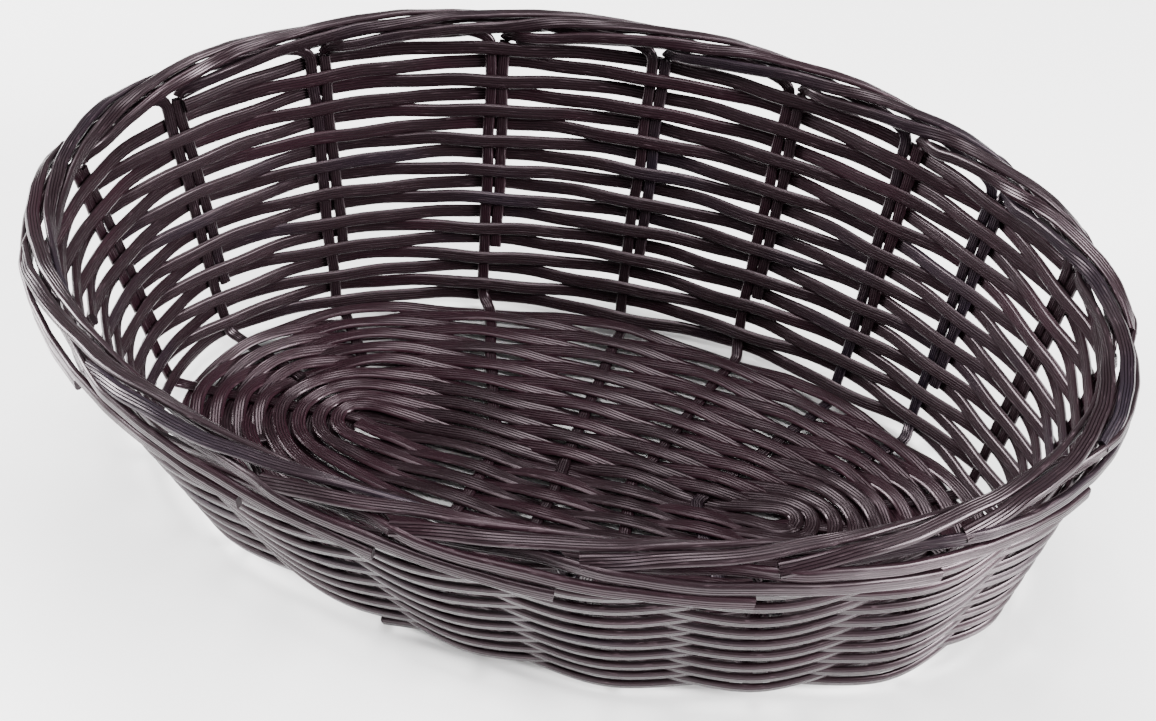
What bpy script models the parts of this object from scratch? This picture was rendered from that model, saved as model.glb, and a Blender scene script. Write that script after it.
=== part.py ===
"""Oval fruit basket, woven from flat plastic strand on eighteen stakes.

Frame: metres, +X along the long axis, +Y across it, +Z up, with the origin on the surface
that the basket stands on, under the middle of the oval. Angles run round the oval from +X,
anticlockwise from above. Every strand is its own closed body, with clearance to the strands
that it passes.
"""

import math

import bmesh
import bpy
from mathutils import Vector

# Overall sizes, over the outside of the strands.
RIM_LENGTH = 0.2350
RIM_WIDTH = 0.1724
RIM_HEIGHT = 0.0742
FLOOR_LENGTH = 0.2118
FLOOR_WIDTH = 0.1158
# The rim is bent by hand: it falls towards +X, and its ends lie below its sides.
RIM_FALL = 0.0025
RIM_SADDLE = 0.0012

# Strand sections.
STRAND_WIDTH = 0.0029
STRAND_THICKNESS = 0.0014
FLOOR_STRAND_WIDTH = 0.0018
CLEARANCE = 0.0003

# Stakes, by the angle at which they reach the rim. A cross stake runs under the whole
# basket, from one angle to the other, and an end stake starts inside the floor.
SPINE_STAKE = (8.0, 184.0)
CROSS_STAKES = ((57.0, 303.5), (74.0, 286.0), (92.0, 270.0), (113.0, 257.0))
INNER_END_STAKES = (26.0, 162.0, 208.0, 345.0)
OUTER_END_STAKES = (43.0, 138.0, 233.0, 322.0)
END_STAKES = INNER_END_STAKES + OUTER_END_STAKES
SPINE_LENGTH = 0.1014
SPINE_RAMP = 0.0034
SPOKE_FAN = 0.563
END_STAKE_INSET = 0.0045
CORNER_BEND = 0.0020
BYE_STAKE_FOOT = 0.0150

# Weaving. Rows are counted from the spine outwards on the floor, and from the floor up on
# the wall. Two weavers chase each other, and both step up two rows over the step bays.
FIRST_STAKE = 257.0
STEP_BAYS = 4
FLOOR_ROW_GAP = 0.00045
FLOOR_FIRST_ROW = 0.0034
OUTER_END_FIRST_ROW = 0.0043
INNER_END_FIRST_ROW = 0.0056
SPINE_END_FIRST_ROW = 0.0060
FLOOR_EDGE = 0.0040
FLOOR_FLAT = 0.0023
SPINE_FLAT = 0.0018
END_STAKE_START = 0.0237
END_STAKE_GAP = 0.0009
WALL_FIRST_ROW = 0.0030
WALL_FLAT_MARGIN = 0.00035
WEAVER_END_GAP = 0.0005
FLOOR_LENGTHS = 2
WALL_LENGTHS = 3

# Rolled border, as a cross-section: reach is outwards from the wall, rise is above its
# last row. Each strand climbs along the cross-section by one step for each bay it passes.
BORDER_HEIGHT = 0.0085
BORDER_STRAND_GAP = 0.0008
BORDER_CORNER = 0.0022
INNER_STRAND_START = 0.0032
INNER_STRAND_BAYS = 2.8
OUTER_STRAND_TOP = 0.0050
OUTER_STRAND_BAYS = 2.9
OUTER_STRAND_LEVEL_BAYS = 1.15
SECTIONS_PER_BAY = 4

PASS = STRAND_THICKNESS + CLEARANCE
FLOOR_MID = PASS + STRAND_THICKNESS / 2
WALL_REACH = PASS + STRAND_THICKNESS / 2
PAIR_OFFSET = (STRAND_WIDTH + CLEARANCE) / 2
WALL_FLAT = STRAND_WIDTH + CLEARANCE / 2 + WALL_FLAT_MARGIN
BORDER_REACH = WALL_REACH + CLEARANCE + STRAND_THICKNESS
BORDER_STEP = STRAND_WIDTH + BORDER_STRAND_GAP
BORDER_INNER_FACE = -BORDER_REACH + STRAND_THICKNESS / 2 + CLEARANCE
BORDER_OUTER_FACE = BORDER_REACH - STRAND_THICKNESS / 2
UP = Vector((0, 0, 1))


def oval_point(angle, length, width, height):
    turn = math.radians(angle)
    return Vector((length / 2 * math.cos(turn), width / 2 * math.sin(turn), height))


def heel_point(angle):
    """Where the stakes' middle line turns from the floor up the wall."""
    return oval_point(angle, FLOOR_LENGTH - 2 * WALL_REACH, FLOOR_WIDTH - 2 * WALL_REACH, FLOOR_MID)


def head_point(angle):
    """The middle of the wall at the top edge of its last row."""
    turn = math.radians(angle)
    bend = RIM_FALL * math.cos(turn) + RIM_SADDLE * math.cos(2 * turn)
    height = RIM_HEIGHT - BORDER_HEIGHT - bend
    return oval_point(angle, RIM_LENGTH - 2 * BORDER_REACH, RIM_WIDTH - 2 * BORDER_REACH, height)


def along_rim(angle):
    """Horizontal direction along the rim, anticlockwise."""
    turn = math.radians(angle)
    return Vector((-RIM_LENGTH * math.sin(turn), RIM_WIDTH * math.cos(turn), 0)).normalized()


def first_row_distance(angle):
    """How far the first floor row keeps from the spine at this stake."""
    if angle in SPINE_STAKE:
        return SPINE_END_FIRST_ROW
    if angle in INNER_END_STAKES:
        return INNER_END_FIRST_ROW
    return OUTER_END_FIRST_ROW if angle in OUTER_END_STAKES else FLOOR_FIRST_ROW


class Stake:
    """The lines that one stake follows: from the spine to the heel, and up to the head."""

    def __init__(self, angle, partner=None):
        self.angle = angle
        self.on_spine = angle in SPINE_STAKE
        self.is_end = angle in END_STAKES
        self.heel = heel_point(angle)
        self.head = head_point(angle)
        self.is_outer_end = angle in OUTER_END_STAKES
        if partner is None:
            inset = END_STAKE_INSET if self.is_outer_end else 0
            place = math.copysign(SPINE_LENGTH / 2 - inset, self.heel.x)
        else:
            place = SPOKE_FAN * (self.heel.x + heel_point(partner).x) / 2
        self.root = Vector((place, 0, FLOOR_MID))
        self.spoke = (self.heel - self.root).normalized()
        self.rise = (self.head - self.heel).normalized()
        self.side = along_rim(angle)
        self.out = self.side.cross(self.rise).normalized()
        self.first_floor_row = first_row_distance(angle)
        self.woven_floor = (self.heel - self.root).length - FLOOR_EDGE - self.first_floor_row
        wall = (self.head - self.heel).length
        self.woven_wall = wall - WALL_FIRST_ROW - STRAND_WIDTH / 2 - CLEARANCE

    def floor_distance(self, row):
        return self.first_floor_row + self.woven_floor * row / (FLOOR_ROWS - 1)

    def floor_point(self, row):
        return self.root + self.spoke * self.floor_distance(row)

    def wall_point(self, row):
        return self.heel + self.rise * (WALL_FIRST_ROW + self.woven_wall * row / (WALL_ROWS - 1))

    def up_the_wall(self, sideways, start):
        """(point, normal) pairs from this distance above the heel to just below the head."""
        shift = self.side * sideways
        foot = self.heel + self.rise * start + shift
        return [(foot, self.out), (self.head - self.rise * CLEARANCE + shift, self.out)]

    def round_the_heel(self):
        """(point, normal) pairs of the bend from the floor into the wall, as far as the wall."""
        first = self.heel - self.spoke * CORNER_BEND
        last = self.heel + self.rise * CORNER_BEND
        bend = []
        for part in (0, 1 / 3, 2 / 3, 1):
            point = first * (1 - part) ** 2 + self.heel * 2 * part * (1 - part) + last * part**2
            bend.append((point, (self.out * part - UP * (1 - part)).normalized()))
        return bend


def make_stakes():
    """Every stake, anticlockwise, with FIRST_STAKE first."""
    stakes = [Stake(angle) for angle in SPINE_STAKE + END_STAKES]
    for pair in CROSS_STAKES:
        stakes += [Stake(pair[0], pair[1]), Stake(pair[1], pair[0])]
    return sorted(stakes, key=lambda stake: (stake.angle - FIRST_STAKE) % 360)


def rows_that_fit(lengths, spacing):
    """The even number of rows that the shortest of these woven lengths has room for."""
    return 2 * ((math.floor(min(lengths) / spacing) + 1) // 2)


STAKES = make_stakes()
FLOOR_ROWS = rows_that_fit([stake.woven_floor for stake in STAKES], FLOOR_STRAND_WIDTH + FLOOR_ROW_GAP)
WALL_ROWS = rows_that_fit([stake.woven_wall for stake in STAKES], STRAND_WIDTH + CLEARANCE)


def angle_at(place):
    """The rim angle at a place counted in bays, where whole numbers are the stakes."""
    index = math.floor(place)
    here = STAKES[index % len(STAKES)].angle
    bay = (STAKES[(index + 1) % len(STAKES)].angle - here) % 360
    return here + bay * (place - index)


def rim_point(place, reach, rise):
    angle = angle_at(place)
    return head_point(angle) + along_rim(angle).cross(UP) * reach + UP * rise


def rim_normal(place, tilt):
    """Normal of a strand on the border: tilt 0 faces outwards, and 90 degrees faces up."""
    out = along_rim(angle_at(place)).cross(UP)
    return out * math.cos(tilt) + UP * math.sin(tilt)


def bay_length(index, direction):
    """Length of the bay from a stake to its neighbour, along the top of the wall."""
    neighbour = STAKES[(index + direction) % len(STAKES)]
    return (neighbour.head - STAKES[index].head).length


def inner_border_section(travel):
    """(reach, rise, tilt) at this distance along the border's inside, corner and top."""
    top = BORDER_HEIGHT - STRAND_THICKNESS / 2
    corner_start = top - BORDER_CORNER - INNER_STRAND_START
    if travel < corner_start:
        return BORDER_INNER_FACE, INNER_STRAND_START + travel, math.pi
    turn = (travel - corner_start) / BORDER_CORNER
    if turn < math.pi / 2:
        reach = BORDER_INNER_FACE + BORDER_CORNER * (1 - math.cos(turn))
        return reach, top - BORDER_CORNER * (1 - math.sin(turn)), math.pi - turn
    across = travel - corner_start - BORDER_CORNER * math.pi / 2
    return BORDER_INNER_FACE + BORDER_CORNER + across, top, math.pi / 2


def inner_border(index):
    """A bye stake's end: inwards, clockwise up the inside of the rim, and over its top."""
    bay = bay_length(index, -1)
    bends = ((0.0001, 0.0, 0.34), (0.0012, 0.2, 0.66), (0.0040, 0.8, 0.92), (0.0075, 1.0, 1.0))
    path = []
    for sideways, inwards, upwards in bends:
        place = index - (PAIR_OFFSET + sideways) / bay
        point = rim_point(place, BORDER_INNER_FACE * inwards, INNER_STRAND_START * upwards)
        path.append((point, rim_normal(place, math.pi)))
    steps = int(INNER_STRAND_BAYS * SECTIONS_PER_BAY)
    for step in range(1, steps + 1):
        bays = INNER_STRAND_BAYS * step / steps
        if bays * bay < PAIR_OFFSET + bends[-1][0] + CLEARANCE:
            continue
        reach, rise, tilt = inner_border_section(max(0, (bays - 1 / SECTIONS_PER_BAY) * BORDER_STEP))
        path.append((rim_point(index - bays, reach, rise), rim_normal(index - bays, tilt)))
    return path


def outer_border(index):
    """A stake's end: anticlockwise up inside the border, out under its top, and down."""
    bay = bay_length(index, 1)
    path = []
    for sideways, upwards in ((0.0003, 0.18), (0.0022, 0.46), (0.0060, 0.68)):
        place = index + (PAIR_OFFSET + sideways) / bay
        path.append((rim_point(place, 0, OUTER_STRAND_TOP * upwards), rim_normal(place, 0)))
    for bays, outwards, upwards in ((0.5, 0.08, 0.84), (0.8, 0.26, 1.0), (1.0, 0.72, 1.06)):
        place = index + bays
        point = rim_point(place, BORDER_OUTER_FACE * outwards, OUTER_STRAND_TOP * upwards)
        path.append((point, rim_normal(place, 0)))
    steps = round((OUTER_STRAND_BAYS - OUTER_STRAND_LEVEL_BAYS) * SECTIONS_PER_BAY)
    for step in range(steps + 1):
        down = (OUTER_STRAND_BAYS - OUTER_STRAND_LEVEL_BAYS) * step / steps
        bays = OUTER_STRAND_LEVEL_BAYS + down
        rise = OUTER_STRAND_TOP - BORDER_STEP * down
        path.append((rim_point(index + bays, BORDER_OUTER_FACE, rise), rim_normal(index + bays, 0)))
    return path


def spoke_to_rim(index, start):
    """A stake from this point of its spoke, round the heel, up the wall and into the border."""
    stake = STAKES[index]
    shift = stake.side * PAIR_OFFSET
    bend = stake.round_the_heel()
    path = [(start, -UP)]
    for place, (point, normal) in enumerate(bend):
        path.append((point + shift * place / (len(bend) - 1), normal))
    path.append(stake.up_the_wall(PAIR_OFFSET, 0)[1])
    return path + outer_border(index)


def index_of(angle):
    return [stake.angle for stake in STAKES].index(angle)


def end_stake_row():
    """Free rows of the floor pass the end stakes below this row, and woven ones above it."""
    rows = []
    for stake in STAKES:
        if stake.is_end:
            share = (END_STAKE_START - stake.first_floor_row) / stake.woven_floor
            rows.append(share * (FLOOR_ROWS - 1))
    return math.floor(max(rows)) + 0.75


def cross_stake_path(pair):
    halves = []
    for angle in pair:
        stake = STAKES[index_of(angle)]
        halves.append(spoke_to_rim(index_of(angle), stake.floor_point(0)))
    root = (STAKES[index_of(pair[0])].root, -UP)
    return halves[0][::-1] + [root] + halves[1]


def spine_stake_path():
    """The long stake: under the cross stakes along the spine, and level with them outside."""
    halves = []
    for angle in SPINE_STAKE:
        stake = STAKES[index_of(angle)]
        inner = stake.root - Vector((math.copysign(CLEARANCE, stake.root.x), 0, PASS))
        level = stake.root + stake.spoke * SPINE_RAMP
        halves.append([(inner, -UP)] + spoke_to_rim(index_of(angle), level))
    return halves[0][::-1] + halves[1]


def end_stake_path(angle):
    index = index_of(angle)
    stake = STAKES[index]
    part_row = row_at(index, 0) % 1
    last_free_row = math.floor(end_stake_row() - part_row) + part_row
    start = stake.floor_distance(last_free_row) + FLOOR_STRAND_WIDTH / 2 + END_STAKE_GAP
    return spoke_to_rim(index, stake.root + stake.spoke * start)


def bye_stake_path(index):
    return STAKES[index].up_the_wall(-PAIR_OFFSET, BYE_STAKE_FOOT) + inner_border(index)


def row_at(step, weaver):
    """The row a weaver is on at this step, where a step is one stake further round."""
    turn, place = divmod(step, len(STAKES))
    step_up = 2 * max(0, place - (len(STAKES) - STEP_BAYS)) / STEP_BAYS
    return 2 * turn + weaver + step_up


def over_or_under(step, weaver):
    """1 where the weaver passes outside (on the floor: above) the stake, and -1 where not."""
    return 1 if (step + weaver) % 2 == 0 else -1


def wall_weaver_points(step, weaver):
    """The two (point, normal) pairs of the flat stretch across one pair of stakes."""
    stake = STAKES[step % len(STAKES)]
    middle = stake.wall_point(row_at(step, weaver)) + stake.out * PASS * over_or_under(step, weaver)
    return [(middle + stake.side * WALL_FLAT * end, stake.out) for end in (-1, 1)]


def floor_weaver_points(step, weaver):
    """The (point, normal) pairs of one floor weaver at one spoke, of which there may be none."""
    count = len(STAKES)
    stake = STAKES[step % count]
    row = row_at(step, weaver)
    if stake.is_end and row < end_stake_row():
        return free_bend_points(step, weaver)
    before = STAKES[(step - 1) % count].floor_point(row)
    after = STAKES[(step + 1) % count].floor_point(row)
    ahead = (after - before).normalized()
    half = SPINE_FLAT if stake.on_spine else FLOOR_FLAT
    middle = stake.floor_point(row) + UP * PASS * over_or_under(step, weaver)
    return [(middle + ahead * half * end, UP) for end in (-1, 1)]


def free_bend_points(step, weaver):
    """A weaver's way round the end of the spine, level with its pass over or under the spine."""
    side = next(
        over_or_under(step + shift, weaver)
        for shift in (-1, 1, -2, 2)
        if STAKES[(step + shift) % len(STAKES)].on_spine
    )
    stake = STAKES[step % len(STAKES)]
    return [(stake.floor_point(row_at(step, weaver)) + UP * PASS * side, UP)]


def weaver_lengths(points_at, first, last, weaver, count):
    """Splits one weaver into lengths whose ends meet inside a stake, with a gap between."""
    breaks = []
    for part in range(1, count):
        step = first + round((last - first) * part / count)
        while over_or_under(step, weaver) > 0 or len(points_at(step, weaver)) < 2:
            step += 1
        breaks.append(step)
    lengths = []
    for start, end in zip([first] + breaks, breaks + [last]):
        path = []
        for step in range(start, end + 1):
            path += points_at(step, weaver)
        if start in breaks:
            middle = (path[0][0] + path[1][0]) / 2
            ahead = (path[1][0] - path[0][0]).normalized()
            path[0] = (middle + ahead * WEAVER_END_GAP / 2, path[0][1])
        if end in breaks:
            middle = (path[-2][0] + path[-1][0]) / 2
            ahead = (path[-1][0] - path[-2][0]).normalized()
            path[-1] = (middle - ahead * WEAVER_END_GAP / 2, path[-1][1])
        lengths.append(path)
    return lengths


def weaver_paths(points_at, rows, count):
    """Both weavers of a floor or wall of this many rows, each split into lengths."""
    stakes = len(STAKES)
    level = stakes - STEP_BAYS
    one_row = STEP_BAYS // 2
    turns = rows // 2 - 1
    paths = weaver_lengths(points_at, 0, turns * stakes + level + one_row, 0, count)
    return paths + weaver_lengths(points_at, -one_row, turns * stakes + level, 1, count)


def make_strand(name, path, width, thickness, material):
    """One flat strand along (point, normal) pairs, as a closed body with square ends."""
    body = bmesh.new()
    rings = []
    for index, (point, normal) in enumerate(path):
        before = path[max(index - 1, 0)][0]
        after = path[min(index + 1, len(path) - 1)][0]
        ahead = (after - before).normalized()
        across = ahead.cross(normal).normalized() * width / 2
        through = across.cross(ahead).normalized() * thickness / 2
        corners = (across + through, through - across, -across - through, across - through)
        rings.append([body.verts.new(point + corner) for corner in corners])
    for ring, following in zip(rings, rings[1:]):
        for corner in range(4):
            nearby = (corner + 1) % 4
            body.faces.new((ring[corner], ring[nearby], following[nearby], following[corner]))
    body.faces.new(rings[0][::-1])
    body.faces.new(rings[-1])
    bmesh.ops.recalc_face_normals(body, faces=body.faces)
    mesh = bpy.data.meshes.new(name)
    body.to_mesh(mesh)
    body.free()
    mesh.materials.append(material)
    strand = bpy.data.objects.new(name, mesh)
    bpy.context.scene.collection.objects.link(strand)


def make_material(name, colour):
    material = bpy.data.materials.new(name)
    material.use_nodes = True
    shader = material.node_tree.nodes["Principled BSDF"]
    shader.inputs["Base Color"].default_value = (*colour, 1)
    shader.inputs["Roughness"].default_value = 0.42
    shader.inputs["Metallic"].default_value = 0.0
    return material


def clear_scene():
    for old in list(bpy.data.objects):
        bpy.data.objects.remove(old)


def make_basket():
    stake_plastic = make_material("stake_polypropylene", (0.030, 0.022, 0.026))
    weaver_plastic = make_material("weaver_polypropylene", (0.044, 0.032, 0.037))
    size = (STRAND_WIDTH, STRAND_THICKNESS)
    make_strand("spine_stake", spine_stake_path(), *size, stake_plastic)
    for number, pair in enumerate(CROSS_STAKES, 1):
        make_strand(f"cross_stake_{number:02}", cross_stake_path(pair), *size, stake_plastic)
    for number, angle in enumerate(END_STAKES, 1):
        make_strand(f"end_stake_{number:02}", end_stake_path(angle), *size, stake_plastic)
    for index in range(len(STAKES)):
        make_strand(f"bye_stake_{index + 1:02}", bye_stake_path(index), *size, stake_plastic)
    floor_paths = weaver_paths(floor_weaver_points, FLOOR_ROWS, FLOOR_LENGTHS)
    for number, path in enumerate(floor_paths, 1):
        make_strand(f"floor_weaver_{number:02}", path, FLOOR_STRAND_WIDTH, STRAND_THICKNESS, weaver_plastic)
    wall_paths = weaver_paths(wall_weaver_points, WALL_ROWS, WALL_LENGTHS)
    for number, path in enumerate(wall_paths, 1):
        make_strand(f"wall_weaver_{number:02}", path, *size, weaver_plastic)


clear_scene()
make_basket()
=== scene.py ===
import math

import bmesh
import bpy
import numpy as np
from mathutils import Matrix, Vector


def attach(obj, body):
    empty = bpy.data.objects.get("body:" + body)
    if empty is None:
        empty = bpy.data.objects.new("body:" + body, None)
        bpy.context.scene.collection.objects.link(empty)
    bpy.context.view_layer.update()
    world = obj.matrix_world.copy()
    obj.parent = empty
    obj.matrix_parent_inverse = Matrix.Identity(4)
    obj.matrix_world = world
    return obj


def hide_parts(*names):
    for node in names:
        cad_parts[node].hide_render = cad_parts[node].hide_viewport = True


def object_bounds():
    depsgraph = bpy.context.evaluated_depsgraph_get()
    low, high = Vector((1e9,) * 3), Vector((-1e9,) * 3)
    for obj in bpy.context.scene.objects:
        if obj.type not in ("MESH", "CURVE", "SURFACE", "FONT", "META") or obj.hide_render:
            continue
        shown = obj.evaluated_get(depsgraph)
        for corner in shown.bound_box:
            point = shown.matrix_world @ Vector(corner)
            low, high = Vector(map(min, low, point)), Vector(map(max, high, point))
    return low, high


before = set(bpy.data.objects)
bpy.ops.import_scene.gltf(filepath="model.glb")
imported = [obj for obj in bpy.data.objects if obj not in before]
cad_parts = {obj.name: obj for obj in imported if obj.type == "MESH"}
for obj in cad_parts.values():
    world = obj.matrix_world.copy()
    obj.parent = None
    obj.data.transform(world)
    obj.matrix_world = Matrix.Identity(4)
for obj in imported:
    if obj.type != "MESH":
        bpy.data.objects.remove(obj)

cadBox = [list(corner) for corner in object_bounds()]
bpy.ops.object.select_all(action="DESELECT")
print("frame loaded:", len(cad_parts), "strands")

# The basket as it is woven: metres, and angles in degrees round the oval from +X.
basket = {
    "rimLength": 0.2350,
    "rimWidth": 0.1724,
    "rimHeight": 0.0742,
    "floorLength": 0.2118,
    "floorWidth": 0.1158,
    "rimFall": 0.0025,  # towards +X
    "rimSaddle": 0.0012,  # both ends below the sides
    "spineEnds": (8.0, 184.0),
    "crossPairs": ((57.0, 303.5), (74.0, 286.0), (92.0, 270.0), (113.0, 257.0)),
    "innerEnds": (26.0, 162.0, 208.0, 345.0),
    "outerEnds": (43.0, 138.0, 233.0, 322.0),
    "spineLength": 0.1014,
    "spineRamp": 0.0034,
    "spokeFan": 0.563,
    "endStakeInset": 0.0045,
    "firstStake": 257.0,
    "stepBays": 4,
    "byeStakeFoot": 0.0150,
    "byeStakeUneven": 0.003,
    "cornerBend": 0.0022,
}

# The strand as it is extruded, and the room that neighbours leave each other. Its shown width is
# a little more, because real rows press on each other and close up.
strand = {
    "width": 0.0029,
    "thickness": 0.0014,
    "clearance": 0.0003,
    "faceRibs": 5,
    "ribbedShare": 0.94,
    "ribTop": 0.29,
    "ribDepth": 0.00018,
    "shownWidth": 0.0030,
    "stakeSpacing": 0.0011,
    "wallSpacing": 0.0020,
    "floorSpacing": 0.0015,
    "wander": 0.00013,
    "wanderLengths": (0.021, 0.034, 0.055),
    "ease": 0.0011,
    "sharpEdge": 50.0,
    "reel": 4000.0,  # millimetres, and a strand may be cut from any part of it
}

# The floor's two weavers chase each other round the spine, in rows that lie closer inwards.
floorWeave = {
    "rows": 18,
    "firstRow": 0.0024,
    "outerEndFirstRow": 0.0036,
    "innerEndFirstRow": 0.0047,
    "spineEndFirstRow": 0.0050,
    "edge": 0.0035,
    "inwards": 1.10,
    "earlyStart": 1,  # bays before the first stake, to close the slot beside the spine
    "endStakeRow": 8.75,
    "strandWidth": 0.0018,  # the room that one row takes
    "endStakeGap": 0.0009,
    "shownWidth": 0.0035,
    "press": 0.70,
    "tilt": 15.0,
    "thinned": 0.92,
    "uneven": 0.00010,
    "lengths": 2,
}

# The wall's two weavers, which begin just above the heel.
wallWeave = {
    "rows": 18,
    "firstRow": 0.0021,
    "earlyStart": 0,
    "lengths": 3,
    "shownWidth": 0.0034,
    "press": 1.0,
    "uneven": 0.00016,
}

# The rolled border: bye stakes bend inwards and go back, stakes bend outwards and go on. Each row
# of a bend says how far along, how far in or out (but for the outer bends) and how high.
border = {
    "height": 0.0085,
    "step": 0.0037,
    "corner": 0.0022,
    "innerStart": 0.0032,
    "innerBays": 3.0,
    "innerBends": ((0.0001, 0.0, 0.34), (0.0012, 0.2, 0.66), (0.0040, 0.8, 0.92), (0.0075, 1.0, 1.0)),
    "crown": 0.0019,
    "shoulder": 0.0026,
    "endSink": 0.0007,
    "endSinkBays": 0.4,
    "outerTop": 0.0050,
    "outerBends": ((0.0003, 0.18), (0.0022, 0.46), (0.0060, 0.68)),
    "outerShoulder": ((0.5, 0.08, 0.84), (0.8, 0.26, 1.0), (1.0, 0.72, 1.06)),
    "outerBays": 2.9,
    "outerLevelBays": 1.15,
    "sectionsPerBay": 4,
}

passHeight = strand["thickness"] + strand["clearance"]
floorMid = passHeight + strand["thickness"] / 2
pairOffset = (strand["width"] + strand["clearance"]) / 2
borderReach = floorMid + strand["clearance"] + strand["thickness"]
innerFace = strand["thickness"] / 2 + strand["clearance"] - borderReach
outerFace = borderReach - strand["thickness"] / 2
up = Vector((0, 0, 1))
draw = np.random.default_rng(18)


def ovalPoint(angle, length, width, height):
    turn = math.radians(angle)
    return Vector((length / 2 * math.cos(turn), width / 2 * math.sin(turn), height))


def heelPoint(angle):
    inset = 2 * floorMid
    return ovalPoint(angle, basket["floorLength"] - inset, basket["floorWidth"] - inset, floorMid)


def headPoint(angle):
    turn = math.radians(angle)
    fall = basket["rimFall"] * math.cos(turn) + basket["rimSaddle"] * math.cos(2 * turn)
    height = basket["rimHeight"] - border["height"] - fall
    inset = 2 * borderReach
    return ovalPoint(angle, basket["rimLength"] - inset, basket["rimWidth"] - inset, height)


def alongRim(angle):
    turn = math.radians(angle)
    side = Vector((-basket["rimLength"] * math.sin(turn), basket["rimWidth"] * math.cos(turn), 0))
    return side.normalized()


# One stake's own lines: from the spine to the heel, and from the heel to the head.
def stakeLines(angle, partner=None):
    heel, head = heelPoint(angle), headPoint(angle)
    outerEnd = angle in basket["outerEnds"]
    if partner is None:
        inset = basket["endStakeInset"] if outerEnd else 0
        place = math.copysign(basket["spineLength"] / 2 - inset, heel.x)
    else:
        place = basket["spokeFan"] * (heel.x + heelPoint(partner).x) / 2
    root = Vector((place, 0, floorMid))
    firstRow = floorWeave["firstRow"]
    if angle in basket["spineEnds"]:
        firstRow = floorWeave["spineEndFirstRow"]
    elif angle in basket["innerEnds"]:
        firstRow = floorWeave["innerEndFirstRow"]
    elif outerEnd:
        firstRow = floorWeave["outerEndFirstRow"]
    floorRun = (heel - root).length - floorWeave["edge"]
    wallRun = (head - heel).length - strand["width"] / 2 - strand["clearance"]
    rise = (head - heel).normalized()
    side = alongRim(angle)
    return {
        "angle": angle,
        "root": root,
        "heel": heel,
        "head": head,
        "spoke": (heel - root).normalized(),
        "rise": rise,
        "side": side,
        "out": side.cross(rise).normalized(),
        "firstRow": firstRow,
        "wovenFloor": floorRun - firstRow,
        "wovenWall": wallRun - wallWeave["firstRow"],
        "onSpine": angle in basket["spineEnds"],
        "isEnd": angle in basket["innerEnds"] + basket["outerEnds"],
    }


def makeStakeLines():
    endAngles = basket["spineEnds"] + basket["innerEnds"] + basket["outerEnds"]
    lines = [stakeLines(angle) for angle in endAngles]
    for one, other in basket["crossPairs"]:
        lines += [stakeLines(one, other), stakeLines(other, one)]
    return sorted(lines, key=lambda line: (line["angle"] - basket["firstStake"]) % 360)


stakes = makeStakeLines()
stakeCount = len(stakes)


def stakeAt(step):
    return stakes[step % stakeCount]


def floorDistance(stake, row):
    share = row / (floorWeave["rows"] - 1)
    share = math.copysign(abs(share) ** floorWeave["inwards"], share)
    return stake["firstRow"] + stake["wovenFloor"] * share


def floorPoint(stake, row):
    return stake["root"] + stake["spoke"] * floorDistance(stake, row)


def wallPoint(stake, row):
    share = row / (wallWeave["rows"] - 1)
    return stake["heel"] + stake["rise"] * (wallWeave["firstRow"] + stake["wovenWall"] * share)


def angleAt(place):
    index = math.floor(place)
    here = stakeAt(index)["angle"]
    return here + (stakeAt(index + 1)["angle"] - here) % 360 * (place - index)


def rimPoint(place, reach, rise):
    angle = angleAt(place)
    return headPoint(angle) + alongRim(angle).cross(up) * reach + up * rise


def rimNormal(place, tilt):
    out = alongRim(angleAt(place)).cross(up)
    return out * math.cos(tilt) + up * math.sin(tilt)


# The border's cross-section: how far out, how high and how tilted a strand lies on it.
def innerSection(travel):
    top = border["height"] - strand["thickness"] / 2
    cornerStart = top - border["corner"] - border["innerStart"]
    if travel < cornerStart:
        return innerFace, border["innerStart"] + travel, math.pi
    turn = (travel - cornerStart) / border["corner"]
    if turn < math.pi / 2:
        reach = innerFace + border["corner"] * (1 - math.cos(turn))
        return reach, top - border["corner"] * (1 - math.sin(turn)), math.pi - turn
    across = travel - cornerStart - border["corner"] * math.pi / 2
    reach = innerFace + border["corner"] + min(across, border["crown"])
    turn = max(0, across - border["crown"]) / border["shoulder"]
    reach += border["shoulder"] * math.sin(turn)
    return reach, top - border["shoulder"] * (1 - math.cos(turn)), math.pi / 2 - turn


def innerBorder(index):
    bay = (stakeAt(index - 1)["head"] - stakeAt(index)["head"]).length
    bends = border["innerBends"]
    path = []
    for sideways, inwards, upwards in bends:
        place = index - (pairOffset + sideways) / bay
        point = rimPoint(place, innerFace * inwards, border["innerStart"] * upwards)
        path.append((point, rimNormal(place, math.pi)))
    steps = round(border["innerBays"] * border["sectionsPerBay"])
    for step in range(1, steps + 1):
        bays = border["innerBays"] * step / steps
        if bays * bay < pairOffset + bends[-1][0] + strand["clearance"]:
            continue
        travel = max(0, (bays - 1 / border["sectionsPerBay"]) * border["step"])
        reach, rise, tilt = innerSection(travel)
        # the cut end is pressed down onto the strands it lies on
        nearEnd = max(0, 1 - (border["innerBays"] - bays) / border["endSinkBays"])
        sink = border["endSink"] * nearEnd
        path.append((rimPoint(index - bays, reach - sink, rise - sink), rimNormal(index - bays, tilt)))
    return path


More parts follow.
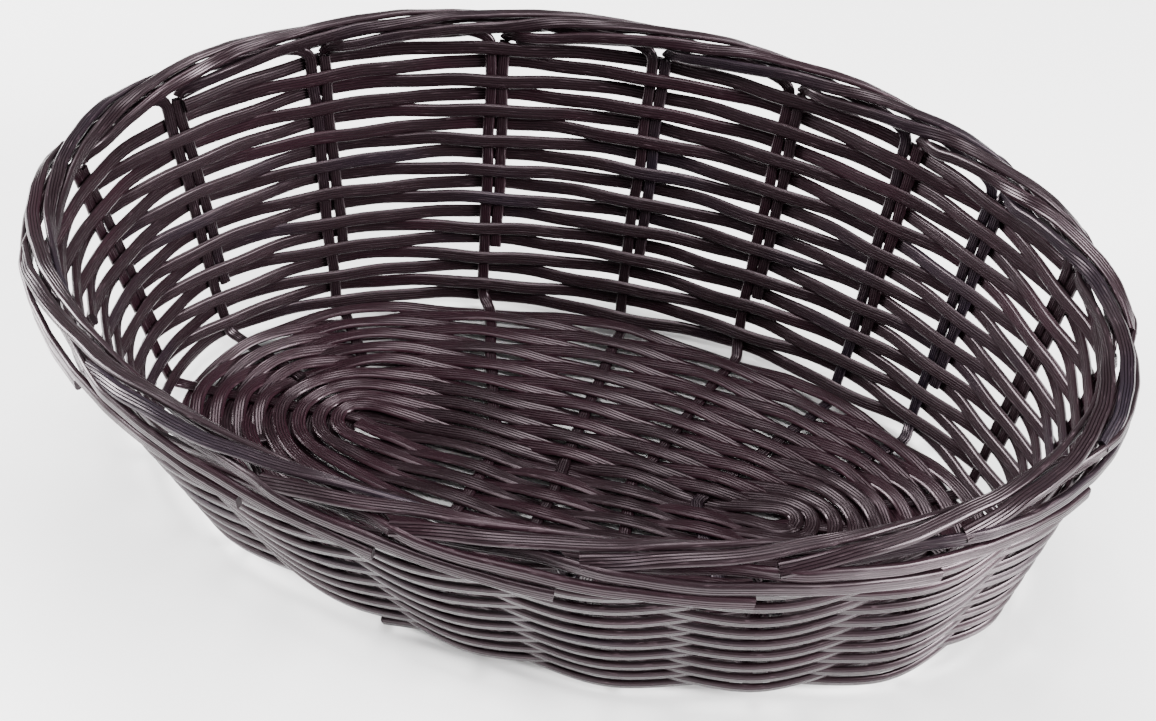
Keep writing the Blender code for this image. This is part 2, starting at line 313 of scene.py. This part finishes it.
def outerBorder(index):
    bay = (stakeAt(index + 1)["head"] - stakeAt(index)["head"]).length
    path = []
    for sideways, upwards in border["outerBends"]:
        place = index + (pairOffset + sideways) / bay
        path.append((rimPoint(place, 0, border["outerTop"] * upwards), rimNormal(place, 0)))
    for bays, outwards, upwards in border["outerShoulder"]:
        place = index + bays
        point = rimPoint(place, outerFace * outwards, border["outerTop"] * upwards)
        path.append((point, rimNormal(place, 0)))
    slopingBays = border["outerBays"] - border["outerLevelBays"]
    steps = round(slopingBays * border["sectionsPerBay"])
    for step in range(steps + 1):
        down = slopingBays * step / steps
        place = index + border["outerLevelBays"] + down
        point = rimPoint(place, outerFace, border["outerTop"] - border["step"] * down)
        path.append((point, rimNormal(place, 0)))
    return path


def spokeToRim(index, start):
    stake = stakes[index]
    shift = stake["side"] * pairOffset
    bend = basket["cornerBend"]
    path = [(start, -up)]
    path.append((stake["heel"] - stake["spoke"] * bend, -up))
    path.append((stake["heel"] + stake["rise"] * bend + shift, stake["out"]))
    path.append((stake["head"] - stake["rise"] * strand["clearance"] + shift, stake["out"]))
    return path + outerBorder(index)


def indexOf(angle):
    return [stake["angle"] for stake in stakes].index(angle)


def crossStakePath(pair):
    halves = [spokeToRim(indexOf(angle), floorPoint(stakes[indexOf(angle)], 0)) for angle in pair]
    return halves[0][::-1] + [(stakes[indexOf(pair[0])]["root"], -up)] + halves[1]


def spineStakePath():
    halves = []
    for angle in basket["spineEnds"]:
        stake = stakes[indexOf(angle)]
        inwards = math.copysign(strand["clearance"], stake["root"].x)
        inner = stake["root"] - Vector((inwards, 0, passHeight))
        level = stake["root"] + stake["spoke"] * basket["spineRamp"]
        halves.append([(inner, -up)] + spokeToRim(indexOf(angle), level))
    return halves[0][::-1] + halves[1]


def endStakePath(angle):
    index = indexOf(angle)
    stake = stakes[index]
    partRow = rowAt(index, 0) % 1
    lastFreeRow = math.floor(floorWeave["endStakeRow"] - partRow) + partRow
    start = floorDistance(stake, lastFreeRow) + floorWeave["strandWidth"] / 2 + floorWeave["endStakeGap"]
    return spokeToRim(index, stake["root"] + stake["spoke"] * start)


def byeStakePath(index):
    stake = stakes[index]
    shift = stake["side"] * -pairOffset
    footHeight = basket["byeStakeFoot"] + draw.uniform(0, basket["byeStakeUneven"])
    foot = stake["heel"] + stake["rise"] * footHeight + shift
    head = stake["head"] - stake["rise"] * strand["clearance"] + shift
    return [(foot, stake["out"]), (head, stake["out"])] + innerBorder(index)


# Which row a weaver is on at a step: level for most of each turn, then up two rows at once.
def rowAt(step, weaver):
    turn, place = divmod(step, stakeCount)
    stepUp = 2 * max(0, place - (stakeCount - basket["stepBays"])) / basket["stepBays"]
    return 2 * turn + weaver + stepUp


def passSide(step, weaver):
    return 1 if (step + weaver) % 2 == 0 else -1


def wallPass(step, weaver):
    stake = stakeAt(step)
    wander = draw.normal(0, wallWeave["uneven"])
    point = wallPoint(stake, rowAt(step, weaver)) + stake["rise"] * wander
    reach = passHeight * wallWeave["press"] * passSide(step, weaver)
    return point + stake["out"] * reach, stake["out"]


def floorPass(step, weaver):
    stake = stakeAt(step)
    row = rowAt(step, weaver)
    side = passSide(step, weaver)
    if stake["isEnd"] and row < floorWeave["endStakeRow"]:
        # an end stake isn't there yet, so the weaver goes by it as it goes by the spine
        toSpine = next(shift for shift in (-1, 1, -2, 2) if stakeAt(step + shift)["onSpine"])
        side = passSide(step + toSpine, weaver)
    wander = draw.normal(0, floorWeave["uneven"])
    rise = passHeight * floorWeave["press"] * side
    return floorPoint(stake, row) + stake["spoke"] * wander + up * rise, up


def weaverSteps(weave, weaver):
    turns = weave["rows"] // 2 - 1
    level = stakeCount - basket["stepBays"]
    oneRow = basket["stepBays"] // 2
    first = -oneRow if weaver else -weave["earlyStart"]
    last = turns * stakeCount + level + (0 if weaver else oneRow)
    return first, last


# Where one weaver is cut into its lengths: always inside a stake that bears on it.
def weaverBreaks(first, last, weaver, count, usable):
    breaks = []
    for part in range(1, count):
        step = first + round((last - first) * part / count)
        while passSide(step, weaver) > 0 or not usable(step, weaver):
            step += 1
        breaks.append(step)
    return [first] + breaks + [last]


# The line a stiff strand takes through the points it is held at, as a natural cubic spline.
def springLine(points, values, spacing):
    points, values = np.array(points), np.array(values)
    knots = np.concatenate(([0], np.cumsum(np.linalg.norm(np.diff(points, axis=0), axis=1))))
    gaps = np.diff(knots)
    count = len(points)
    system = np.eye(count)
    pull = np.zeros((count, values.shape[1]))
    for i in range(1, count - 1):
        system[i, i - 1] = gaps[i - 1]
        system[i, i] = 2 * (gaps[i - 1] + gaps[i])
        system[i, i + 1] = gaps[i]
        pull[i] = 6 * ((values[i + 1] - values[i]) / gaps[i] - (values[i] - values[i - 1]) / gaps[i - 1])
    bend = np.linalg.solve(system, pull)
    places = np.linspace(0, knots[-1], max(8, round(knots[-1] / spacing)) + 1)
    i = np.clip(np.searchsorted(knots, places, side="right") - 1, 0, count - 2)
    gap, after, before = gaps[i][:, None], (places - knots[i])[:, None], (knots[i + 1] - places)[:, None]
    return (
        bend[i] * before**3 / (6 * gap)
        + bend[i + 1] * after**3 / (6 * gap)
        + (values[i] / gap - bend[i] * gap / 6) * before
        + (values[i + 1] / gap - bend[i + 1] * gap / 6) * after
    )


# A strand bent over short distances: straight runs with every corner eased.
def easedLine(path, spacing, ease):
    points = np.array([tuple(point) for point, _ in path])
    normals = np.array([tuple(normal) for _, normal in path])
    knots = np.concatenate(([0], np.cumsum(np.linalg.norm(np.diff(points, axis=0), axis=1))))
    finer = 4
    fine = spacing / finer
    count = round(knots[-1] / fine) + 1
    places = np.linspace(0, knots[-1], count)
    both = [np.interp(places, knots, column) for column in np.hstack((points, normals)).T]
    reach = round(3 * ease / fine)  # three spreads take in all but a trace of the easing curve
    weights = np.exp(-0.5 * (np.arange(-reach, reach + 1) * fine / ease) ** 2)
    weights /= weights.sum()
    eased = []
    for column in both:
        head = 2 * column[0] - column[reach:0:-1]
        tail = 2 * column[-1] - column[-2 : -reach - 2 : -1]
        eased.append(np.convolve(np.concatenate((head, column, tail)), weights, mode="valid"))
    return np.array(eased).T[::finer]


# Half the strand's thickness at a place across it, where its face is flat and its edges round.
def crownAt(across, width, thickness):
    return math.sqrt(max(0, 1 - (abs(across) * 2 / width) ** 4)) * thickness / 2


# The extruder's die: a flat oval with flat-topped ribs on both faces and a groove between each
# two, as (across, through) points round the section.
def dieSection(width, thickness):
    pitch = strand["ribbedShare"] * width / strand["faceRibs"]
    places = []
    for rib in range(strand["faceRibs"]):
        middle = (strand["faceRibs"] / 2 - rib - 0.5) * pitch
        places += [(middle + strand["ribTop"] * pitch, 0), (middle - strand["ribTop"] * pitch, 0)]
        if rib < strand["faceRibs"] - 1:
            places.append((middle - pitch / 2, strand["ribDepth"]))
    section = []
    for face in (1, -1):
        section.append((width / 2 * face, 0.0))
        for across, sunk in places:
            section.append((across * face, (crownAt(across, width, thickness) - sunk) * face))
    return section


sectionStep = 0.001
mmPerMetre = 1000


# One section of straight strand, which every strand is drawn out from.
def makeBlank(name, width, thickness):
    section = dieSection(width, thickness)
    bpy.ops.mesh.primitive_circle_add(vertices=len(section), radius=width)
    blank = bpy.context.object
    blank.name = name
    bpy.ops.object.mode_set(mode="EDIT")
    shape = bmesh.from_edit_mesh(blank.data)
    shape.verts.ensure_lookup_table()
    for vert, (across, through) in zip(shape.verts, section):
        vert.co = (0, across, through)
    bmesh.update_edit_mesh(blank.data)
    bpy.ops.mesh.select_all(action="SELECT")
    bpy.ops.mesh.extrude_region_move(TRANSFORM_OT_translate={"value": (sectionStep, 0, 0)})
    bpy.ops.object.mode_set(mode="OBJECT")
    return blank


def drawOut(name, blank, sections):
    bpy.ops.object.select_all(action="DESELECT")
    piece = blank.copy()
    piece.data = blank.data.copy()
    piece.name = piece.data.name = name
    bpy.context.collection.objects.link(piece)
    bpy.context.view_layer.objects.active = piece
    piece.select_set(True)
    array = piece.modifiers.new("length", "ARRAY")
    array.count = sections - 1
    array.use_relative_offset = False
    array.use_constant_offset = True
    array.constant_offset_displace = (sectionStep, 0, 0)
    array.use_merge_vertices = True
    array.merge_threshold = sectionStep / 100
    bpy.ops.object.modifier_apply(modifier=array.name)
    bpy.ops.object.mode_set(mode="EDIT")
    bpy.ops.mesh.select_all(action="DESELECT")
    bpy.ops.mesh.select_mode(type="EDGE")
    bpy.ops.mesh.select_non_manifold()
    bpy.ops.mesh.fill_holes(sides=0)
    bpy.ops.mesh.select_all(action="SELECT")
    bpy.ops.mesh.normals_make_consistent(inside=False)
    bpy.ops.object.mode_set(mode="OBJECT")
    return piece


# The directions across and through a strand at each row of its line.
def crossAxes(line, tilts):
    ahead = np.gradient(line[:, :3], axis=0)
    ahead /= np.linalg.norm(ahead, axis=1)[:, None]
    across = np.cross(ahead, line[:, 3:])
    across /= np.linalg.norm(across, axis=1)[:, None]
    through = np.cross(across, ahead)
    if tilts is None:
        return across, through
    turn = np.radians(tilts)[:, None]
    tiltedAcross = across * np.cos(turn) + through * np.sin(turn)
    return tiltedAcross, through * np.cos(turn) - across * np.sin(turn)


# No strand lies quite true: each drifts a little to and fro along its way.
def wanderAlong(lengths):
    wander = np.zeros(len(lengths))
    for wavelength in strand["wanderLengths"]:
        wander += np.sin(2 * math.pi * (lengths / wavelength + draw.uniform())) * strand["wander"]
    return wander


def storeOnPoints(mesh, name, kind, values):
    field = "vector" if kind == "FLOAT_VECTOR" else "value"
    mesh.attributes.new(name, kind, "POINT").data.foreach_set(field, values.ravel())


# What the plastic reads: each point's place along, across and through its strand in millimetres,
# whether it lies in a groove, and its strand's own lot of dye.
def markStrand(mesh, flat, lengths):
    start = draw.uniform(0, strand["reel"])
    inside = flat[:, 1:] * mmPerMetre
    onStrand = np.column_stack((start + lengths * mmPerMetre, inside))
    storeOnPoints(mesh, "onStrand", "FLOAT_VECTOR", onStrand)
    width, thickness = np.abs(flat[:, 1]).max() * 2, np.abs(flat[:, 2]).max() * 2
    crowns = np.array([crownAt(across, width, thickness) for across in flat[:, 1]])
    grooved = crowns - np.abs(flat[:, 2]) > strand["ribDepth"] / 2
    storeOnPoints(mesh, "groove", "FLOAT", grooved.astype(float))
    storeOnPoints(mesh, "dyeLot", "FLOAT", np.full(len(flat), draw.uniform(0, 1)))


# Lays a straight strand along a line of (x, y, z, normal) rows, one row for each section.
def layAlong(piece, line, tilts=None):
    across, through = crossAxes(line, tilts)
    gaps = np.linalg.norm(np.diff(line[:, :3], axis=0), axis=1)
    lengths = np.concatenate(([0], np.cumsum(gaps)))
    points = line[:, :3] + across * wanderAlong(lengths)[:, None]
    mesh = piece.data
    flat = np.empty(len(mesh.vertices) * 3)
    mesh.vertices.foreach_get("co", flat)
    flat = flat.reshape(-1, 3)
    section = np.clip(np.rint(flat[:, 0] / sectionStep).astype(int), 0, len(line) - 1)
    laid = points[section] + across[section] * flat[:, 1:2] + through[section] * flat[:, 2:3]
    mesh.vertices.foreach_set("co", laid.ravel())
    markStrand(mesh, flat, lengths[section])
    mesh.update()
    bpy.ops.object.shade_smooth_by_angle(angle=math.radians(strand["sharpEdge"]))


def finishStrand(piece, node, material):
    piece.data.materials.clear()
    piece.data.materials.append(material)
    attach(piece, "root")
    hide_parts(node)


def makeStrand(name, node, blank, line, material, tilts=None):
    piece = drawOut(name, blank, len(line))
    layAlong(piece, line, tilts)
    finishStrand(piece, node, material)


def hexColour(code):
    channels = [int(code[i : i + 2], 16) / 255 for i in (0, 2, 4)]
    linear = [c / 12.92 if c <= 0.04045 else ((c + 0.055) / 1.055) ** 2.4 for c in channels]
    return (*linear, 1.0)


def addNode(tree, kind, settings=None, **links):
    node = tree.nodes.new(kind)
    for name, value in (settings or {}).items():
        if isinstance(name, int) or name in node.inputs:
            node.inputs[name].default_value = value
        else:
            setattr(node, name, value)
    for name, source in links.items():
        tree.links.new(source, node.inputs[int(name[1:]) if name[1:].isdigit() else name])
    return node


# Colours of each kind of strand, and how often each pattern repeats in a millimetre along,
# across and through the strand: the dye drifts over 38 mm, and draw lines are 0.16 mm apart.
plastic = {
    # the first colour of each kind darkens the real draw-line streaks and also paints shade into the
    # grooves between ribs
    "stake": {"streakAndGrooveShade": "080406", "body": "180e12", "plum": "1d0e14", "blue": "17121a"},
    "weaver": {"streakAndGrooveShade": "080406", "body": "1a0f13", "plum": "210f16", "blue": "19131b"},
    "worn": "75636a",
    "sheen": "f4dfe8",
    "ior": 1.49,
    "gloss": 0.36,
    "roughness": 0.34,
    "grooveRoughness": 0.25,
    "crestPolish": 0.08,
    "dyePerMm": (1 / 38, 0.02, 0.02),
    "dyeLotShare": 0.55,
    "dyeStops": (("blue", 0.42), ("body", 0.66), ("body", 0.86), ("plum", 1.0)),
    "drawLinesPerMm": (0.045, 1 / 0.16, 3.0),
    "drawLineDepth": 0.00006,
    "drawLineStrength": 0.55,
    "streakSpan": (0.30, 0.72),
    "crestShare": 0.9,
    # how much painted groove shade and streak darkening goes into the base colour
    "streakShadeSpan": (0.35, 1.6),
    "glossSpan": (0.0, 1.5),
    "grooveShadeMost": 0.95,
    "scuffsPerMm": (0.22, 3.2, 1.0),
    "scuffSpan": (0.60, 0.78),
    "scuffMost": 0.42,
}


def addPattern(tree, place, perMm, settings):
    scaled = addNode(tree, "ShaderNodeVectorMath", {"operation": "MULTIPLY", 1: perMm}, i0=place)
    noise = addNode(tree, "ShaderNodeTexNoise", settings, Vector=scaled.outputs[0])
    return noise.outputs["Fac"]


# Spreads what lies inside a span from one value to another.
def addRange(tree, source, span, low, high):
    settings = {1: span[0], 2: span[1], 3: low, 4: high}
    return addNode(tree, "ShaderNodeMapRange", settings, i0=source).outputs[0]


# The dye: each strand has its own lot, and drifts from plum to blue-black along its length.
def addDye(tree, place, colours):
    lot = addNode(tree, "ShaderNodeAttribute", {"attribute_name": "dyeLot"}).outputs["Fac"]
    cloud = addPattern(tree, place, plastic["dyePerMm"], {"Scale": 1.0, "Detail": 2.0})
    lotShare = {"operation": "MULTIPLY_ADD", 1: plastic["dyeLotShare"]}
    mixed = addNode(tree, "ShaderNodeMath", lotShare, i0=lot, i2=cloud)
    ramp = addNode(tree, "ShaderNodeValToRGB", i0=mixed.outputs[0])
    stops = ramp.color_ramp.elements
    names, places = zip(*plastic["dyeStops"])
    stops[0].position, stops[1].position = places[0], places[-1]
    for middle in places[1:-1]:
        stops.new(middle)
    for stop, name in zip(stops, names):
        stop.color = hexColour(colours[name])
    return ramp.outputs["Color"]


# Extruded polypropylene basket strand: dyed through, ribbed by its die and drawn while warm, so
# it shows fine lengthwise lines, a satin gloss that runs along the ribs, and dye that drifts.
def makePlastic(name, colours):
    material = bpy.data.materials.new(name)
    material.use_nodes = True
    tree = material.node_tree
    tree.nodes.clear()
    output = addNode(tree, "ShaderNodeOutputMaterial")
    shader = addNode(tree, "ShaderNodeBsdfPrincipled", {"IOR": plastic["ior"], "Metallic": 0.0})
    shader.inputs["Specular IOR Level"].default_value = plastic["gloss"]
    shader.inputs["Specular Tint"].default_value = hexColour(plastic["sheen"])
    tree.links.new(shader.outputs[0], output.inputs[0])
    place = addNode(tree, "ShaderNodeAttribute", {"attribute_name": "onStrand"}).outputs["Vector"]
    dye = addDye(tree, place, colours)

    # draw lines: fine streaks along the strand, and painted shade that darkens the grooves between ribs
    lines = {"Scale": 1.0, "Detail": 4.0, "Roughness": 0.62}
    streak = addPattern(tree, place, plastic["drawLinesPerMm"], lines)
    streakTone = addRange(tree, streak, plastic["streakSpan"], 0.0, 1.0)
    groove = addNode(tree, "ShaderNodeAttribute", {"attribute_name": "groove"}).outputs["Fac"]
    crest = addNode(tree, "ShaderNodeMath", {"operation": "SUBTRACT", 0: 1.0}, i1=groove).outputs[0]
    crestShare = {"operation": "MULTIPLY_ADD", 1: plastic["crestShare"]}
    shade = addNode(tree, "ShaderNodeMath", crestShare, i0=crest, i2=streakTone).outputs[0]
    # painted shade: grooves are darkened in the base colour as if shaded, together with the real
    # draw-line streaks
    streakAndShadeMix = addRange(tree, shade, plastic["streakShadeSpan"], plastic["grooveShadeMost"], 0.0)
    streakAndGrooveShade = {"data_type": "RGBA", 7: hexColour(colours["streakAndGrooveShade"])}
    dyeAndGrooveShade = addNode(tree, "ShaderNodeMix", streakAndGrooveShade, i0=streakAndShadeMix, i6=dye)

    # rubbed rib crests: short pale scuffs where strands have been pulled past each other
    rubbing = {"Scale": 1.0, "Detail": 3.0, "Roughness": 0.7}
    scuff = addPattern(tree, place, plastic["scuffsPerMm"], rubbing)
    scuffEdge = addRange(tree, scuff, plastic["scuffSpan"], 0.0, plastic["scuffMost"])
    scuffed = addNode(tree, "ShaderNodeMath", {"operation": "MULTIPLY"}, i0=scuffEdge, i1=crest)
    pale = {"data_type": "RGBA", 7: hexColour(plastic["worn"])}
    worn = addNode(tree, "ShaderNodeMix", pale, i0=scuffed.outputs[0], i6=dyeAndGrooveShade.outputs[2])
    tree.links.new(worn.outputs[2], shader.inputs["Base Color"])

    dullest = plastic["roughness"] + plastic["grooveRoughness"]
    glossiest = plastic["roughness"] - plastic["crestPolish"]
    rough = addRange(tree, shade, plastic["glossSpan"], dullest, glossiest)
    tree.links.new(rough, shader.inputs["Roughness"])
    relief = {"Strength": plastic["drawLineStrength"], "Distance": plastic["drawLineDepth"]}
    bump = addNode(tree, "ShaderNodeBump", relief, Height=streak)
    tree.links.new(bump.outputs[0], shader.inputs["Normal"])
    return material


stakePlastic = makePlastic("extrudedPolypropyleneStake", plastic["stake"])
weaverPlastic = makePlastic("extrudedPolypropyleneWeaver", plastic["weaver"])
print("materials made")

stakeBlank = makeBlank("stakeBlank", strand["shownWidth"], strand["thickness"])
wallBlank = makeBlank("wallBlank", wallWeave["shownWidth"], strand["thickness"])
floorThickness = strand["thickness"] * floorWeave["thinned"]
floorBlank = makeBlank("floorBlank", floorWeave["shownWidth"], floorThickness)


def layStake(name, node, path):
    line = easedLine(path, strand["stakeSpacing"], strand["ease"])
    makeStrand(name, node, stakeBlank, line, stakePlastic)


def makeStakes():
    layStake("spineStake", "spine_stake", spineStakePath())
    for number, pair in enumerate(basket["crossPairs"], 1):
        layStake(f"crossStake_{number:02}", f"cross_stake_{number:02}", crossStakePath(pair))
    for number, angle in enumerate(basket["innerEnds"] + basket["outerEnds"], 1):
        layStake(f"endStake_{number:02}", f"end_stake_{number:02}", endStakePath(angle))
    for number in range(1, stakeCount + 1):
        layStake(f"byeStake_{number:02}", f"bye_stake_{number:02}", byeStakePath(number - 1))


# The lines of both weavers' lengths, each row with the step that it is at in its last column.
def weaverLines(passAt, weave, usable, spacing):
    lines = []
    for weaver in (0, 1):
        first, last = weaverSteps(weave, weaver)
        steps = range(first, last + 1)
        held = [passAt(step, weaver) for step in steps]
        points = [tuple(point) for point, _ in held]
        values = [(*point, *normal, step) for (point, normal), step in zip(held, steps)]
        line = springLine(points, values, spacing)
        breaks = weaverBreaks(first, last, weaver, weave["lengths"], usable)
        for start, end in zip(breaks, breaks[1:]):
            inside = line[(line[:, 6] >= start) & (line[:, 6] <= end)]
            lines.append(inside[1:-1])
    return lines


def makeWallWeavers():
    lines = weaverLines(wallPass, wallWeave, lambda step, weaver: True, strand["wallSpacing"])
    for number, line in enumerate(lines, 1):
        name, node = f"wallWeaver_{number:02}", f"wall_weaver_{number:02}"
        makeStrand(name, node, wallBlank, line[:, :6], weaverPlastic)


def onStake(step, weaver):
    return not (stakeAt(step)["isEnd"] and rowAt(step, weaver) < floorWeave["endStakeRow"])


def makeFloorWeavers():
    lines = weaverLines(floorPass, floorWeave, onStake, strand["floorSpacing"])
    for number, line in enumerate(lines, 1):
        name, node = f"floorWeaver_{number:02}", f"floor_weaver_{number:02}"
        between = np.sin(np.pi * (line[:, 6] % 1)) ** 2  # none at a stake, most between two
        tilts = floorWeave["tilt"] * between
        makeStrand(name, node, floorBlank, line[:, :6], weaverPlastic, tilts)


makeStakes()
print("stakes and border laid")
makeWallWeavers()
print("wall woven")
makeFloorWeavers()
print("floor woven")

for blank in (stakeBlank, wallBlank, floorBlank):
    bpy.data.objects.remove(blank)

studio = {
    "floorSize": 6.0,
    "floorColour": "fbfafa",
    "floorRoughness": 0.9,
    "skyColour": "ffffff",
    "skyStrength": 0.42,
    "target": (0.0063, 0.0031, 0.0300),
    "camera": (0.0865, -0.2304, 0.2624),
    "sensor": 36.0,
    "lens": 46.63,
    "clipStart": 0.01,
    "shiftX": -0.0149,
    "shiftY": 0.0192,
}

softboxes = (
    {"name": "overhead", "place": (-0.05, 0.35, 1.05), "size": 0.5, "power": 13.0},
    {"name": "frontTop", "place": (0.00, -0.42, 1.05), "size": 0.4, "power": 8.0},
    {"name": "leftSide", "place": (-0.95, -0.05, 0.45), "size": 0.4, "power": 40.0},
    {"name": "rightSide", "place": (0.95, -0.10, 0.50), "size": 0.4, "power": 44.0},
)


def aim(thing, target):
    direction = Vector(target) - thing.location
    thing.rotation_euler = direction.to_track_quat("-Z", "Y").to_euler()


def makeFloor():
    bpy.ops.mesh.primitive_plane_add(size=studio["floorSize"], location=(0, 0, cadBox[0][2]))
    floor = bpy.context.object
    floor.name = "studioFloor"
    bpy.ops.object.transform_apply(location=True)
    paper = bpy.data.materials.new("mattPaperSweep")
    paper.use_nodes = True
    shader = paper.node_tree.nodes["Principled BSDF"]
    shader.inputs["Base Color"].default_value = hexColour(studio["floorColour"])
    shader.inputs["Roughness"].default_value = studio["floorRoughness"]
    floor.data.materials.append(paper)


def makeLights():
    world = bpy.data.worlds.new("softStudio")
    bpy.context.scene.world = world
    world.use_nodes = True
    sky = world.node_tree.nodes["Background"]
    sky.inputs["Color"].default_value = hexColour(studio["skyColour"])
    sky.inputs["Strength"].default_value = studio["skyStrength"]
    for box in softboxes:
        lamp = bpy.data.lights.new(box["name"], "AREA")
        lamp.energy = box["power"]
        lamp.size = box["size"]
        light = bpy.data.objects.new(box["name"], lamp)
        light.location = box["place"]
        bpy.context.collection.objects.link(light)
        aim(light, studio["target"])


def makeCamera():
    lens = bpy.data.cameras.new("camera")
    lens.sensor_width = studio["sensor"]
    lens.lens = studio["lens"]
    lens.shift_x, lens.shift_y = studio["shiftX"], studio["shiftY"]
    lens.clip_start = studio["clipStart"]
    camera = bpy.data.objects.new("camera", lens)
    camera.location = studio["camera"]
    bpy.context.collection.objects.link(camera)
    aim(camera, studio["target"])
    bpy.context.scene.camera = camera


makeFloor()
makeLights()
makeCamera()
print("studio set")
